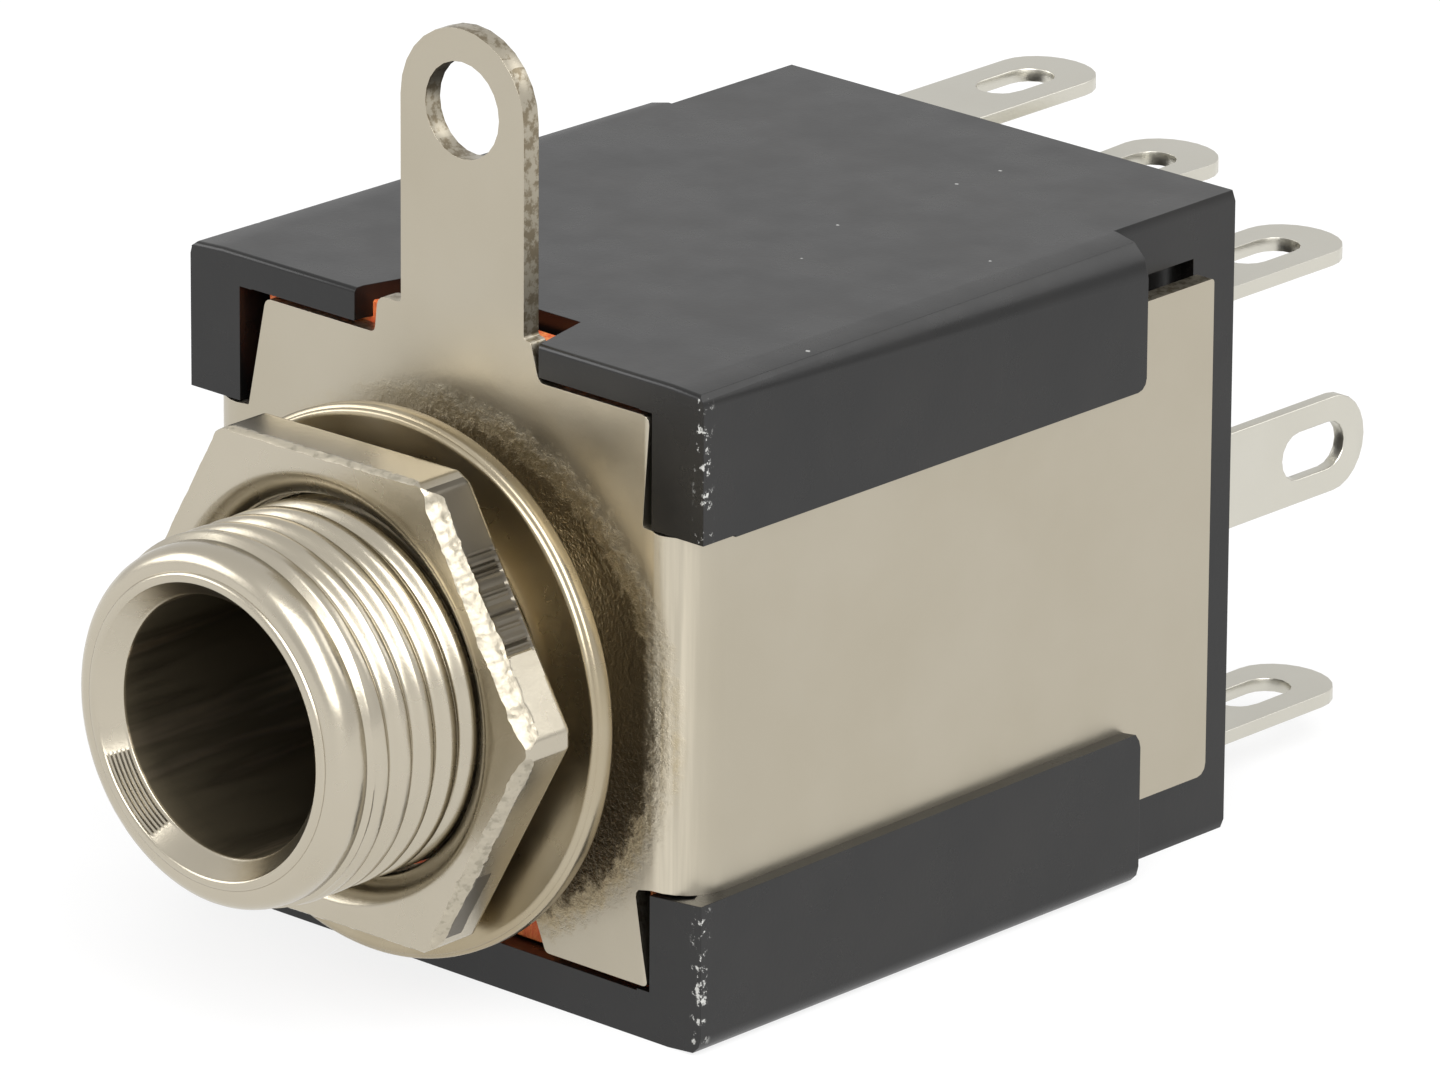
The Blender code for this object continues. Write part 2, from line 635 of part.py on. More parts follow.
def pusher(name, material, lower):
    """Insulating finger that the plug lifts; its peg is riveted through the blade."""
    plug_top = AXIS_Z + PLUG_RADIUS
    if lower:
        plug_top = 2 * SWITCH_CENTRE_Z - (AXIS_Z - PLUG_RADIUS)
    foot = plug_top - PUSHER_BITE
    seat = COMMON_Z - BLADE / 2 - GAP
    side = rounded([
        (PUSHER_Y - 1.5 * MM, seat, 0), (PUSHER_Y + 1.1 * MM, seat, 0), (PUSHER_Y + 0.8 * MM, foot, 0.4 * MM),
        (PUSHER_Y - 0.4 * MM, foot, 0.4 * MM), (PUSHER_Y - 1.5 * MM, seat - 0.7 * MM, 0.2 * MM),
    ])
    item = flat_outline(name, [side], -PUSHER_WIDTH / 2, PUSHER_WIDTH / 2, "YZ", material)
    top = COMMON_Z + BLADE / 2 + GAP
    peg = rod(name + "_peg", 0.3 * MM, (0, PUSHER_Y, seat - 0.3 * MM), (0, PUSHER_Y, top + 0.1 * MM))
    head = rod(name + "_head", 0.6 * MM, (0, PUSHER_Y, top), (0, PUSHER_Y, top + 0.22 * MM))
    join(item, peg)
    join(item, head)
    turn_over([item, peg, head], lower)
    return item


def make_switch(prefix, lower, metal, plastic):
    fixed_contact(prefix + "_make_terminal", -COLUMN, MAKE_Z, -1, MAKE_BUTTON, metal, lower)
    common_contact(prefix + "_common_terminal", metal, lower)
    fixed_contact(prefix + "_break_terminal", COLUMN, BREAK_Z, 1, BREAK_BUTTON, metal, lower)
    switch_blade(prefix + "_switch_blade", metal, lower)
    pusher(prefix + "_pusher", plastic, lower)


def side_terminal(name, side, material):
    """Upright solder lug, base strip along the wall and its hairpin bend."""
    inner = SIDE_STRIP_X - 2 * HAIRPIN_RADIUS
    bend = arc((SIDE_STRIP_X - HAIRPIN_RADIUS, HAIRPIN_Y), HAIRPIN_RADIUS, 0, -180, 8)
    path = [(SIDE_STRIP_X, SIDE_LUG_TIP + MM)] + bend + [(inner, HAIRPIN_Y + 0.1 * MM)]
    half = SIDE_LUG_WIDTH / 2
    if side < 0:
        path = mirrored_x(path)
    item = bent_strip(name, path, STRIP, SIDE_Z - half, SIDE_Z + half, material)
    low, high = sorted((side * (SIDE_STRIP_X - 0.6 * MM), side * (SIDE_STRIP_X + 0.6 * MM)))
    end = [(y, x) for x, y in lug_end(SIDE_Z, half + GAP / 10, SIDE_LUG_TIP)]
    waste = end + [(SIDE_LUG_TIP - LUG_END_ROUND, SIDE_Z + MM * 3), (SIDE_LUG_TIP + 3 * MM, SIDE_Z + MM * 3),
                   (SIDE_LUG_TIP + 3 * MM, SIDE_Z - MM * 3), (SIDE_LUG_TIP - LUG_END_ROUND, SIDE_Z - MM * 3)]
    cut(item, flat_outline(name + "_end", [waste], low, high, "YZ"))
    slot = [(y, x) for x, y in slot_outline(SIDE_Z, SIDE_LUG_TIP - SLOT_FROM_TIP + 0.35 * MM)]
    cut(item, flat_outline(name + "_slot", [slot], low, high, "YZ"))
    return item


def side_blade(name, side, contact_y, material):
    """Springy strip that comes back from the hairpin and bends in to the plug."""
    inner = SIDE_STRIP_X - 2 * HAIRPIN_RADIUS
    start = HAIRPIN_Y + 0.1 * MM + GAP
    length = contact_y - start
    knots = [
        (inner, start), (inner - 0.1 * MM, start + 0.35 * length), (inner - 0.65 * MM, start + 0.72 * length),
        (SIDE_BITE + 0.12 * MM, contact_y - 0.7 * MM), (SIDE_BITE, contact_y), (SIDE_BITE + 0.25 * MM, contact_y + 0.6 * MM),
        (SIDE_BITE + 0.6 * MM, contact_y + MM),
    ]
    path = smooth_path(knots, 4)
    if side < 0:
        path = mirrored_x(path)
    half = SIDE_BLADE_WIDTH / 2
    return bent_strip(name, path, BLADE, SIDE_Z - half, SIDE_Z + half, material)


def centre_pieces():
    """Move everything so that the origin is halfway between the nose and the lug tips."""
    middle = (LUG_TIP - NOSE_LENGTH) / 2
    for item in list(PARTS.objects) + list(CUTTERS.objects):
        item.location.y -= middle


def shade_round_pieces():
    for item in PARTS.objects:
        item.data.shade_smooth()
        item.data.set_sharp_from_angle(angle=math.radians(35))


def main():
    black = make_material("black_moulding", (0.035, 0.034, 0.032), 0.0, 0.45)
    nickel = make_material("nickel_plate", (0.55, 0.52, 0.44), 1.0, 0.3)
    tinned = make_material("tinned_contact", (0.62, 0.61, 0.57), 1.0, 0.4)
    fibre = make_material("red_fibre", (0.42, 0.07, 0.03), 0.0, 0.6)
    make_housing(black)
    make_bracket(nickel)
    make_bushing(nickel)
    make_nut(nickel)
    make_washer(nickel)
    make_insulator(fibre)
    side_terminal("tip_terminal", 1, tinned)
    side_blade("tip_blade", 1, TIP_CONTACT_Y, tinned)
    side_terminal("ring_terminal", -1, tinned)
    side_blade("ring_blade", -1, RING_CONTACT_Y, tinned)
    make_switch("upper", False, tinned, fibre)
    make_switch("lower", True, tinned, fibre)
    centre_pieces()
    shade_round_pieces()


clear_scene()
PARTS = make_collection("audio_jack_socket")
CUTTERS = make_collection("cutters")
main()
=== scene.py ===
"""Looks of the audio jack socket: fine edges, thread, worn plating with painted reflections and a painted
highlight, moulding marks and light.
"""
import json
import math

import bmesh
import bpy
import numpy as np
from mathutils import Matrix, Vector, noise

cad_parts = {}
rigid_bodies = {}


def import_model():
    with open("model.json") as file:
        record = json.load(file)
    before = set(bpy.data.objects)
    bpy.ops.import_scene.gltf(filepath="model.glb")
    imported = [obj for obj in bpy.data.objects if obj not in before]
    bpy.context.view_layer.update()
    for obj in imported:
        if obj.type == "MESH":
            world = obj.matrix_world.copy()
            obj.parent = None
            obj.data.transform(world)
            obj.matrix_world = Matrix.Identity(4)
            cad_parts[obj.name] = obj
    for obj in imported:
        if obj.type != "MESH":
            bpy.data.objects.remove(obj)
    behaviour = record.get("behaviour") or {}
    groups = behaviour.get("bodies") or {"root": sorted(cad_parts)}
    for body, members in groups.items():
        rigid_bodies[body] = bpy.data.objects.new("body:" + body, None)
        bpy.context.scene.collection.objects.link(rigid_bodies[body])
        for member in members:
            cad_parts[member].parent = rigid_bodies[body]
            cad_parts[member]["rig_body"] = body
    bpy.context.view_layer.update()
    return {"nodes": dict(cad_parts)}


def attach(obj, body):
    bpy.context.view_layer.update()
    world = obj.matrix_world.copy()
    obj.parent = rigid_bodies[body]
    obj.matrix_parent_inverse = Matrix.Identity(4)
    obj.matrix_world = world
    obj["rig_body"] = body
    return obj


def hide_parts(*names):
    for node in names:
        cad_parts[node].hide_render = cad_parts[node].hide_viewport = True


MM = 0.001
TURN = 2 * math.pi

# Bracket's front and the nose's axis, in metres
FRONT = -0.009675
AXIS_Z = 0.00805

# Sizes below are in millimetres, across from the middle, back from the bracket's front and up from the
# floor. Pairs of numbers for the nose and washer are a radius and a depth. Angles round the nose run
# clockwise from the top, seen from the front.

# Housing and bracket, as the photograph shows them
TOP = 16.2
BODY_OUT = 7.2
FLAP_OUT = 8.22
FLAP_REAR = 15.4
UPPER_FLAP_EDGE = 12.5
LOWER_FLAP_EDGE = 3.9
ARM_OUT = 7.86
ARM_REAR = 18.3
BEND_OUTER = 1.22

# The same places in the solids, where they differ
SOLID_SIDE = 7.35
SOLID_ARM_REAR = 18.9
SOLID_BEND = 1.0
SOLID_BEND_BOTTOM = 3.6
SOLID_BEND_TOP = 12.6

# Nose
PITCH = 0.75
THREAD_OUTER = 4.5
THREAD_DEPTH = 0.24
THREAD_START = -7.02
BORE = 3.12
MOUTH_LIP = [
    (3.56, -7.895), (3.62, -7.905), (3.72, -7.90), (3.77, -7.87), (3.79, -7.83), (3.86, -7.835),
    (3.98, -7.825), (4.08, -7.79), (4.17, -7.73), (4.25, -7.64), (4.31, -7.52), (4.35, -7.36),
    (4.36, -7.04),
]
NOSE_FLANGE = [
    (4.5, -0.7), (4.5, 0.54), (5.15, 0.55), (5.2, 0.6), (5.2, 0.75), (5.12, 0.86), (4.95, 0.94),
]

# Nut and washer
NUT_FRONT = -4.0
NUT_REAR = -2.55
NUT_CORNER = 6.62
NUT_BLUNT_CORNER = 6.5
NUT_BORE = 4.56
NUT_SINK = 5.22
NUT_REAR_CHAMFER = 0.12
FIRST_CORNER = math.radians(89.2)
LOWER_RIGHT_FLAT = 0
UPPER_RIGHT_FLAT = 5
# Torn edge of each flat, clockwise from the one at lower right: width on the side and width on the face
TEAR_WIDTHS = [0.30, 0.12, 0.10, 0.10, 0.16, 0.42]
TEAR_DEPTHS = [0.20, 0.07, 0.06, 0.06, 0.09, 0.24]
WASHER_MIDDLE = -1.8
WASHER_DROP = 0.35
WASHER_LEAN = 0.05
WASHER_PROFILE = [
    (4.97, -0.24), (5.0, -0.285), (5.06, -0.3), (5.4, -0.3), (5.8, -0.29), (6.1, -0.28), (6.34, -0.29),
    (6.44, -0.3), (6.49, -0.27), (6.51, -0.2), (6.56, -0.18), (6.6, -0.13), (6.6, 0.0), (6.6, 0.18),
    (6.57, 0.26), (6.5, 0.29), (6.3, 0.3), (5.8, 0.3), (5.3, 0.3), (5.08, 0.3), (5.0, 0.28), (4.96, 0.22),
    (4.96, 0),
]

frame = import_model()
nodes = frame["nodes"]


# Materials

class Shader:
    """A Principled material and short calls that add nodes to it."""

    def __init__(self, name, colour, metallic, roughness):
        self.material = bpy.data.materials.new(name)
        self.material.use_nodes = True
        self.tree = self.material.node_tree
        self.principled = self.tree.nodes["Principled BSDF"]
        self.principled.inputs["Base Color"].default_value = (*colour, 1)
        self.principled.inputs["Metallic"].default_value = metallic
        self.principled.inputs["Roughness"].default_value = roughness
        self.material.diffuse_color = (*colour, 1)
        self.place = self.node("ShaderNodeTexCoord").outputs["Object"]

    def node(self, kind, **settings):
        made = self.tree.nodes.new(kind)
        for key, value in settings.items():
            setattr(made, key, value)
        return made

    def link(self, source, target):
        self.tree.links.new(source, target)

    def axes(self, vector):
        """The X, Y and Z outputs of a vector."""
        made = self.node("ShaderNodeSeparateXYZ")
        self.link(vector, made.inputs["Vector"])
        return made.outputs

    def scaled_place(self, scale):
        mapping = self.node("ShaderNodeMapping")
        mapping.inputs["Scale"].default_value = scale
        self.link(self.place, mapping.inputs["Vector"])
        return mapping.outputs["Vector"]

    def noise(self, per_mm, detail=3.0, roughness=0.55, stretch=(1, 1, 1)):
        """Noise with about that many features in a millimetre."""
        made = self.node("ShaderNodeTexNoise")
        made.inputs["Scale"].default_value = per_mm / MM
        made.inputs["Detail"].default_value = detail
        made.inputs["Roughness"].default_value = roughness
        self.link(self.scaled_place(stretch), made.inputs["Vector"])
        return made.outputs["Fac"]

    def cells(self, per_mm):
        """Cells with about that many in a millimetre."""
        made = self.node("ShaderNodeTexVoronoi")
        made.inputs["Scale"].default_value = per_mm / MM
        self.link(self.place, made.inputs["Vector"])
        return made.outputs

    def curve(self, source, low, high, out_low, out_high):
        """Map a value range smoothly to another."""
        made = self.node("ShaderNodeMapRange", interpolation_type="SMOOTHSTEP")
        made.inputs["From Min"].default_value = low
        made.inputs["From Max"].default_value = high
        made.inputs["To Min"].default_value = out_low
        made.inputs["To Max"].default_value = out_high
        self.link(source, made.inputs["Value"])
        return made.outputs["Result"]

    def maths(self, operation, first, second=0.0):
        made = self.node("ShaderNodeMath", operation=operation)
        for slot, value in enumerate((first, second)):
            if isinstance(value, (int, float)):
                made.inputs[slot].default_value = value
            else:
                self.link(value, made.inputs[slot])
        return made.outputs["Value"]

    def times(self, first, second):
        return self.maths("MULTIPLY", first, second)

    def mix(self, factor, first, second):
        made = self.node("ShaderNodeMix", data_type="RGBA")
        self.link(factor, made.inputs["Factor"])
        for slot, value in ((6, first), (7, second)):
            if isinstance(value, tuple):
                made.inputs[slot].default_value = (*value, 1)
            else:
                self.link(value, made.inputs[slot])
        return made.outputs[2]

    def colour(self, source):
        self.link(source, self.principled.inputs["Base Color"])

    def roughness(self, source):
        self.link(source, self.principled.inputs["Roughness"])

    def bump(self, height, depth_mm, before=None):
        made = self.node("ShaderNodeBump")
        made.inputs["Strength"].default_value = 1
        made.inputs["Distance"].default_value = depth_mm * MM
        self.link(height, made.inputs["Height"])
        if before:
            self.link(before, made.inputs["Normal"])
        self.link(made.outputs["Normal"], self.principled.inputs["Normal"])
        return made.outputs["Normal"]


def plated_metal(name, colour, stain, rough, cloud=0.35):
    """Dull plating: cloudy colour, even gloss and a fine grain."""
    shader = Shader(name, colour, 1.0, rough)
    clouds = shader.curve(shader.noise(0.22, 3), 0.3, 0.75, 0, cloud)
    shader.tint = shader.mix(clouds, colour, stain)
    shader.colour(shader.tint)
    shader.roughness(shader.curve(shader.noise(0.6, 4), 0.3, 0.75, rough - 0.03, rough + 0.04))
    fine = shader.bump(shader.noise(16, 2), 0.0012)
    shader.normal = shader.bump(shader.noise(5, 3, 0.6), 0.0024, fine)
    return shader


def painted_washer_reflection(shader, axes, aside):
    """Painted reflection and shadow of the washer's back on the plate's front, round the nose and mostly
    on the right: a pitted dark brown ring with a golden rim.
    """
    squash = 1.12
    lift = shader.times(shader.maths("SUBTRACT", axes["Z"], AXIS_Z - WASHER_DROP * MM), squash)
    square = shader.maths("ADD", shader.times(axes["X"], axes["X"]), shader.times(lift, lift))
    radius = shader.times(shader.maths("SQRT", square), 1 / MM)
    ragged = shader.times(shader.maths("SUBTRACT", shader.noise(2.4, 6, 0.8), 0.5), 1.9)
    uneven = shader.maths("ADD", radius, ragged)
    front = shader.curve(axes["Y"], FRONT + 0.2 * MM, FRONT + 0.4 * MM, 1, 0)
    shown = shader.times(front, shader.curve(aside, -3.5, 3.0, 0.25, 1))
    low = shader.curve(lift, -6 * MM, 4 * MM, 1, 0.55)
    # Painted shadow and dark reflection of the washer's back: a brown ring next to the washer, stronger
    # below and on the right
    painted_dark_ring = shader.times(shader.times(shown, shader.curve(uneven, 6.6, 7.05, 1, 0)), low)
    painted_dark_ring = shader.times(painted_dark_ring, 0.92)
    # Painted reflection of the washer's lit back: a golden rim outside the brown ring
    painted_gold_rim = shader.times(shown, shader.curve(uneven, 6.9, 7.7, 0.7, 0))
    pits = shader.times(shader.maths("ADD", painted_gold_rim, painted_dark_ring), shader.noise(6.0, 3, 0.7))
    shader.bump(pits, 0.035, shader.normal)
    tint = shader.mix(painted_gold_rim, shader.tint, (0.42, 0.33, 0.18))
    return shader.mix(painted_dark_ring, tint, (0.085, 0.062, 0.032))


def painted_bend_highlight(shader, aside, tint):
    """Painted highlight along the right bend: brighter upright lines in a band where the sheet turns."""
    lines = shader.curve(shader.noise(3.2, 3, 0.6, (1, 1, 0.04)), 0.3, 0.7, 0.2, 0.9)
    highlight_band = shader.times(shader.curve(aside, 6.3, 6.7, 0, 1), shader.curve(aside, 7.35, 7.8, 1, 0))
    # Painted highlight: lighter colour over the bend, streaked upright
    return shader.mix(shader.times(highlight_band, lines), tint, (0.66, 0.60, 0.48))


def sheared_edges(shader, aside, tint):
    """Dark, broken metal on cut edges: the plate's and tag's sides, and edges that face up or down."""
    steep = 0.75
    facing = shader.axes(shader.node("ShaderNodeTexCoord").outputs["Normal"])
    sideways = shader.maths("GREATER_THAN", shader.maths("ABSOLUTE", facing["X"]), steep)
    on_plate = shader.maths("LESS_THAN", shader.maths("ABSOLUTE", aside), 6.3)
    level = shader.maths("GREATER_THAN", shader.maths("ABSOLUTE", facing["Z"]), steep)
    sheared = shader.maths("MAXIMUM", shader.times(sideways, on_plate), level)
    broken = shader.curve(shader.noise(4.0, 4, 0.65), 0.4, 0.56, 0.85, 0.1)
    return shader.mix(shader.times(sheared, broken), tint, (0.20, 0.16, 0.10))


def bracket_plating(name, colour, stain, rough):
    """Plating with the painted reflection and shadow round the nose, the painted highlight on the bend
    and the sheared edges.
    """
    shader = plated_metal(name, colour, stain, rough)
    axes = shader.axes(shader.place)
    aside = shader.times(axes["X"], 1 / MM)
    tint = painted_washer_reflection(shader, axes, aside)
    tint = painted_bend_highlight(shader, aside, tint)
    shader.colour(sheared_edges(shader, aside, tint))
    return shader


def torn_metal(name, colour):
    """Rough broken metal on the torn edges of the nut."""
    shader = Shader(name, colour, 1.0, 0.3)
    rough = shader.noise(4.5, 4)
    shader.roughness(shader.curve(rough, 0.3, 0.7, 0.46, 0.6))
    shader.colour(shader.mix(shader.curve(rough, 0.36, 0.5, 0, 1), (0.38, 0.345, 0.27), colour))
    lumps = shader.bump(shader.cells(2.6)["Distance"], 0.03)
    shader.bump(rough, 0.025, lumps)
    return shader


def bore_brass():
    """Dark bore with lighter streaks along its length."""
    shader = Shader("bore_brass", (0.20, 0.165, 0.11), 1.0, 0.25)
    streaks = shader.noise(0.9, 3, 0.6, (1, 0.09, 1))
    tint = shader.mix(shader.curve(streaks, 0.52, 0.68, 0, 1), (0.16, 0.135, 0.09), (0.60, 0.50, 0.36))
    shader.colour(tint)
    shader.roughness(shader.curve(streaks, 0.4, 0.7, 0.55, 0.35))
    shader.bump(streaks, 0.01)
    return shader


def white_specks(shader, tint):
    """A small ragged speck in one cell of five."""
    cells = shader.cells(0.9)
    patchy = shader.maths("ADD", cells["Distance"], shader.times(shader.noise(7, 3), 0.12))
    near = shader.curve(patchy, 0.09, 0.115, 1, 0)
    chosen = shader.node("ShaderNodeSeparateColor")
    shader.link(cells["Color"], chosen.inputs["Color"])
    few = shader.curve(chosen.outputs["Red"], 0.80, 0.81, 0, 1)
    return shader.mix(shader.times(near, few), tint, (0.30, 0.30, 0.29))


def chipped_corner(shader, tint):
    """White chips along the upright front corner on the right."""
    axes = shader.axes(shader.place)
    side = shader.curve(axes["X"], 7.85 * MM, 8.0 * MM, 0, 1)
    front = shader.curve(axes["Y"], FRONT + 0.1 * MM, FRONT + 0.4 * MM, 1, 0)
    chips = shader.curve(shader.noise(3.5, 4, 0.7), 0.57, 0.64, 0, 1)
    return shader.mix(shader.times(shader.times(side, front), chips), tint, (0.42, 0.42, 0.40))


def black_moulding():
    """Satin moulding with a fine grain, a few scuffs, white specks and a chipped corner."""
    shader = Shader("black_moulding", (0.003, 0.003, 0.003), 0.0, 0.30)
    shader.principled.inputs["Specular IOR Level"].default_value = 0.45
    clouds = shader.curve(shader.noise(0.3, 4), 0.3, 0.7, 0, 1)
    tint = shader.mix(clouds, (0.002, 0.002, 0.002), (0.005, 0.0045, 0.004))
    scuffs = shader.curve(shader.noise(0.8, 4, 0.6, (1, 0.4, 1)), 0.69, 0.78, 0, 0.35)
    tint = shader.mix(scuffs, tint, (0.001, 0.001, 0.001))
    shader.colour(chipped_corner(shader, white_specks(shader, tint)))
    gloss = shader.curve(shader.noise(0.5, 4), 0.3, 0.7, 0.26, 0.33)
    shader.roughness(shader.maths("ADD", gloss, shader.times(scuffs, 0.3)))
    grain = shader.bump(shader.noise(9, 3), 0.002)
    shader.bump(shader.noise(0.25, 2), 0.03, grain)
    return shader


def red_fibre():
    """Pressed fibre with threads that run upright."""
    shader = Shader("red_fibre", (0.80, 0.16, 0.04), 0.0, 0.6)
    threads = shader.noise(5, 5, 0.7, (1, 1, 0.35))
    tint = shader.mix(shader.curve(threads, 0.35, 0.7, 0, 1), (0.70, 0.11, 0.03), (0.90, 0.30, 0.08))
    shader.colour(tint)
    shader.bump(threads, 0.05)
    return shader


NICKEL = (0.470, 0.428, 0.343)
STAIN = (0.410, 0.365, 0.275)
plate_metal = bracket_plating("plated_steel", NICKEL, STAIN, 0.36)
nose_metal = plated_metal("plated_brass", (0.51, 0.465, 0.375), STAIN, 0.26, 0.25)
washer_metal = plated_metal("washer_plating", (0.46, 0.405, 0.30), (0.33, 0.26, 0.15), 0.29, 0.6)
lug_metal = plated_metal("tinned_bronze", (0.63, 0.61, 0.54), (0.54, 0.52, 0.45), 0.34, 0.3)
bore_metal = bore_brass()
# Painted dark reflection for parts of the nut's sides
painted_reflection_metal = plated_metal("painted_reflection_plating", (0.20, 0.18, 0.145), (0.12, 0.105, 0.08), 0.34, 0.8)
broken_metal = torn_metal("torn_plating", (0.50, 0.455, 0.365))
moulding = black_moulding()
fibre = red_fibre()


# Pieces from the solids

def new_piece(name, mesh, body, looks, replaces):
    """A mesh that rides on a body and stands for these nodes."""
    piece = bpy.data.objects.new(name, mesh)
    bpy.context.scene.collection.objects.link(piece)
    mesh.materials.append(looks.material)
    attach(piece, body)
    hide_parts(*replaces)
    return piece


def bevel(shape, edges, width, steps):
    """Round these edges off. The width is in millimetres."""
    bmesh.ops.bevel(
        shape, geom=edges, offset=width * MM, offset_type="OFFSET", segments=steps, profile=0.5,
        affect="EDGES", clamp_overlap=True, loop_slide=True)


def softened(node, name, looks, width, steps, worn=None, change=None):
    """The solid with its sharp edges rounded off by a hair, and the edges between worn points by more.

    A change moves each point. It takes and gives back millimetres across from the middle, back from the
    bracket's front and up from the floor.
    """
    shape = bmesh.new()
    shape.from_mesh(nodes[node].data)
    bmesh.ops.remove_doubles(shape, verts=shape.verts, dist=0.002 * MM)
    bmesh.ops.dissolve_limit(
        shape, angle_limit=math.radians(0.6), verts=shape.verts, edges=shape.edges,
        use_dissolve_boundaries=False)
    if change:
        for vert in shape.verts:
            side = math.copysign(MM, vert.co.x)
            x, y, z = change(abs(vert.co.x) / MM, (vert.co.y - FRONT) / MM, vert.co.z / MM)
            vert.co = Vector((side * x, FRONT + y * MM, z * MM))
    if worn:
        blunt = [
            edge for edge in shape.edges
            if edge.is_manifold and all(worn(vert.co / MM) for vert in edge.verts)
        ]
        bevel(shape, blunt, 0.3, 5)
    crease = math.radians(30)
    sharp = [edge for edge in shape.edges if edge.is_manifold and edge.calc_face_angle(0) > crease]
    bevel(shape, sharp, width, steps)
    for face in shape.faces:
        face.smooth = True
    mesh = bpy.data.meshes.new(name)
    shape.to_mesh(mesh)
    shape.free()
    mesh.materials.clear()
    mesh.set_sharp_from_angle(angle=math.radians(40))
    piece = new_piece(name, mesh, nodes[node]["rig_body"], looks, [node])
    weighted = piece.modifiers.new("Even_normals", "WEIGHTED_NORMAL")
    weighted.keep_sharp = True
    return piece


def seat_arm(x, y, z):
    """Bend with the photograph's radius, and an arm that lies on the housing between the flaps."""
    if y > SOLID_BEND + 0.02:
        if 1.17 < y < 1.25:
            # The arm grows wider here in the solid, and behind the flaps in the photograph.
            y = FLAP_REAR + 0.06
        else:
            stretch = (ARM_REAR - BEND_OUTER) / (SOLID_ARM_REAR - SOLID_BEND)
            y = BEND_OUTER + (y - SOLID_BEND) * stretch
        if z > 13 or z < 2.5:
            z += 0.27
        elif z < 4:
            z += 0.05
        return x + ARM_OUT - SOLID_SIDE, y, z
    solid_centre = SOLID_SIDE - SOLID_BEND
    if x > solid_centre and SOLID_BEND_BOTTOM < z < SOLID_BEND_TOP:
        turn = math.atan2(x - solid_centre, SOLID_BEND - y)
        radius = math.hypot(x - solid_centre, SOLID_BEND - y) + BEND_OUTER - SOLID_BEND
        if z < 4:
            z += 0.05
        centre = ARM_OUT - BEND_OUTER
        return centre + radius * math.sin(turn), BEND_OUTER - radius * math.cos(turn), z
    return x, y, z


def towards(value, corner, share):
    """A value moved to a share of its distance from the corner."""
    return corner + (value - corner) * share


def seat_flaps(x, y, z):
    """Housing whose sides stand closer to the arm, with tighter corners on its flaps."""
    body_side = x < 7.45
    # The arm's recess: its rear, lower and upper edges
    if body_side and abs(y - 18.98) < 0.03:
        y = 18.2
    if body_side and abs(z - 1.45) < 0.02:
        z = 2.1
    elif body_side and abs(z - 14.95) < 0.02:
        z = 14.85
    if body_side and x > 7.3:
        x = BODY_OUT
    if x > 7.3:
        near_rear = y > FLAP_REAR - 0.7
        if z > 15.3:
            tight = 0.45 + 0.7 * y / FLAP_REAR
            x = towards(x, FLAP_OUT, tight)
            z = towards(z, TOP, tight)
        elif z < 0.9:
            x = towards(x, FLAP_OUT, 0.6)
            z = towards(z, 0, 0.6)
        elif near_rear and 12 < z < 13.3:
            y = towards(y, FLAP_REAR, 0.5)
            z = towards(z, UPPER_FLAP_EDGE, 0.5)
        elif near_rear and 3 < z < 4:
            y = towards(y, FLAP_REAR, 0.6)
            z = towards(z, LOWER_FLAP_EDGE, 0.6)
    if x > 7.1 and 3.5 < z < 3.95:
        # The lower flap's edge, which has a small step in the solid
        z = 3.74 + 0.009 * y if z > 3.85 or y < 1.2 else z - 0.03
    return x, y, z


def top_front(point):
    """Whether a point is on the housing's top edge at the front, which is rubbed round."""
    return point.z > TOP - 0.05 and point.y < FRONT / MM + 0.03


def raise_sheet(x, y, z):
    """Insulator that reaches up into the notch beside the tag."""
    return x, y, z + 0.45 if z > 14 else z


def trim_lug(x, y, z):
    """Lugs a little shorter, as in the photograph."""
    return x, y - 0.3 if y > 21 else y, z


# Turned pieces

def ring_mesh(name, rings, smooth_angle):
    """Closed ring from a grid of points: one row for each profile point, one column for each angle."""
    rows, columns = rings.shape[:2]
    first = np.arange(rows)[:, None] * columns + np.arange(columns)[None, :]
    beside = np.roll(first, -1, axis=1)
    corners = [first, beside, np.roll(beside, -1, axis=0), np.roll(first, -1, axis=0)]
    faces = np.stack(corners, axis=-1).reshape(-1, 4)
    mesh = bpy.data.meshes.new(name)
    mesh.from_pydata((rings.reshape(-1, 3) * MM).tolist(), [], faces.tolist())
    shape = bmesh.new()
    shape.from_mesh(mesh)
    bmesh.ops.recalc_face_normals(shape, faces=shape.faces)
    for face in shape.faces:
        face.smooth = True
    shape.to_mesh(mesh)
    shape.free()
    mesh.set_sharp_from_angle(angle=math.radians(smooth_angle))
    return mesh


def ring_angles(columns):
    """One angle for each column, evenly spaced over a full turn."""
    return np.linspace(0, TURN, columns, endpoint=False)


def around(radius, depth, angle):
    """Points at a radius and a depth behind the bracket's front."""
    return np.stack([radius * np.sin(angle), depth, radius * np.cos(angle)], axis=-1)


def to_frame(points):
    """Points measured from the nose's axis at the bracket's front, moved to the frame's own place."""
    return points + np.array([0, FRONT / MM, AXIS_Z / MM])


def rough_values(points, scale, seed):
    """Smooth random values from -1 to 1, one for each point."""
    flat = points.reshape(-1, 3)
    values = [noise.noise(Vector((x * scale + seed, y * scale, z * scale))) for x, y, z in flat]
    return np.array(values).reshape(points.shape[:-1])


def shrink(rings, scale):
    """Scale the rings towards the nose's axis."""
    rings[..., 0] *= scale
    rings[..., 2] *= scale


